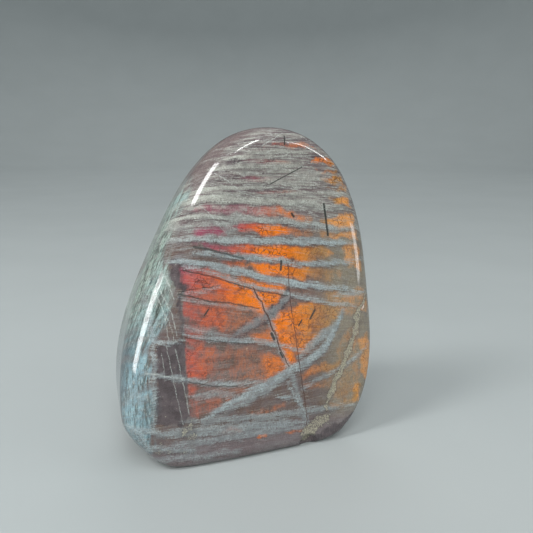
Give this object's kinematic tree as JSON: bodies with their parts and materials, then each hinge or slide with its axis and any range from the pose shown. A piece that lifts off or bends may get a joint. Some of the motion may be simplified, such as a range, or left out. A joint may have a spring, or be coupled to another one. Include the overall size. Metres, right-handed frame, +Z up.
{
  "type": "polished labradorite",
  "caption": "Polished labradorite freeform: an upright rounded slab of stone with a flat flashing front, a domed back and a sawn base it stands on.",
  "frame": {"origin": "on the sawn base's plane, under the middle of the stone's bounding box", "axes": "+Z is up along the stone's length, -Y is the way the flat flashing front looks, +X is to the right as seen from the front"},
  "size_m": [0.0866, 0.0518, 0.105],
  "materials": {
    "labradorite": "polished"
  },
  "bodies": {
    "root": {"labradorite": "labradorite"}
  },
  "joints": []
}
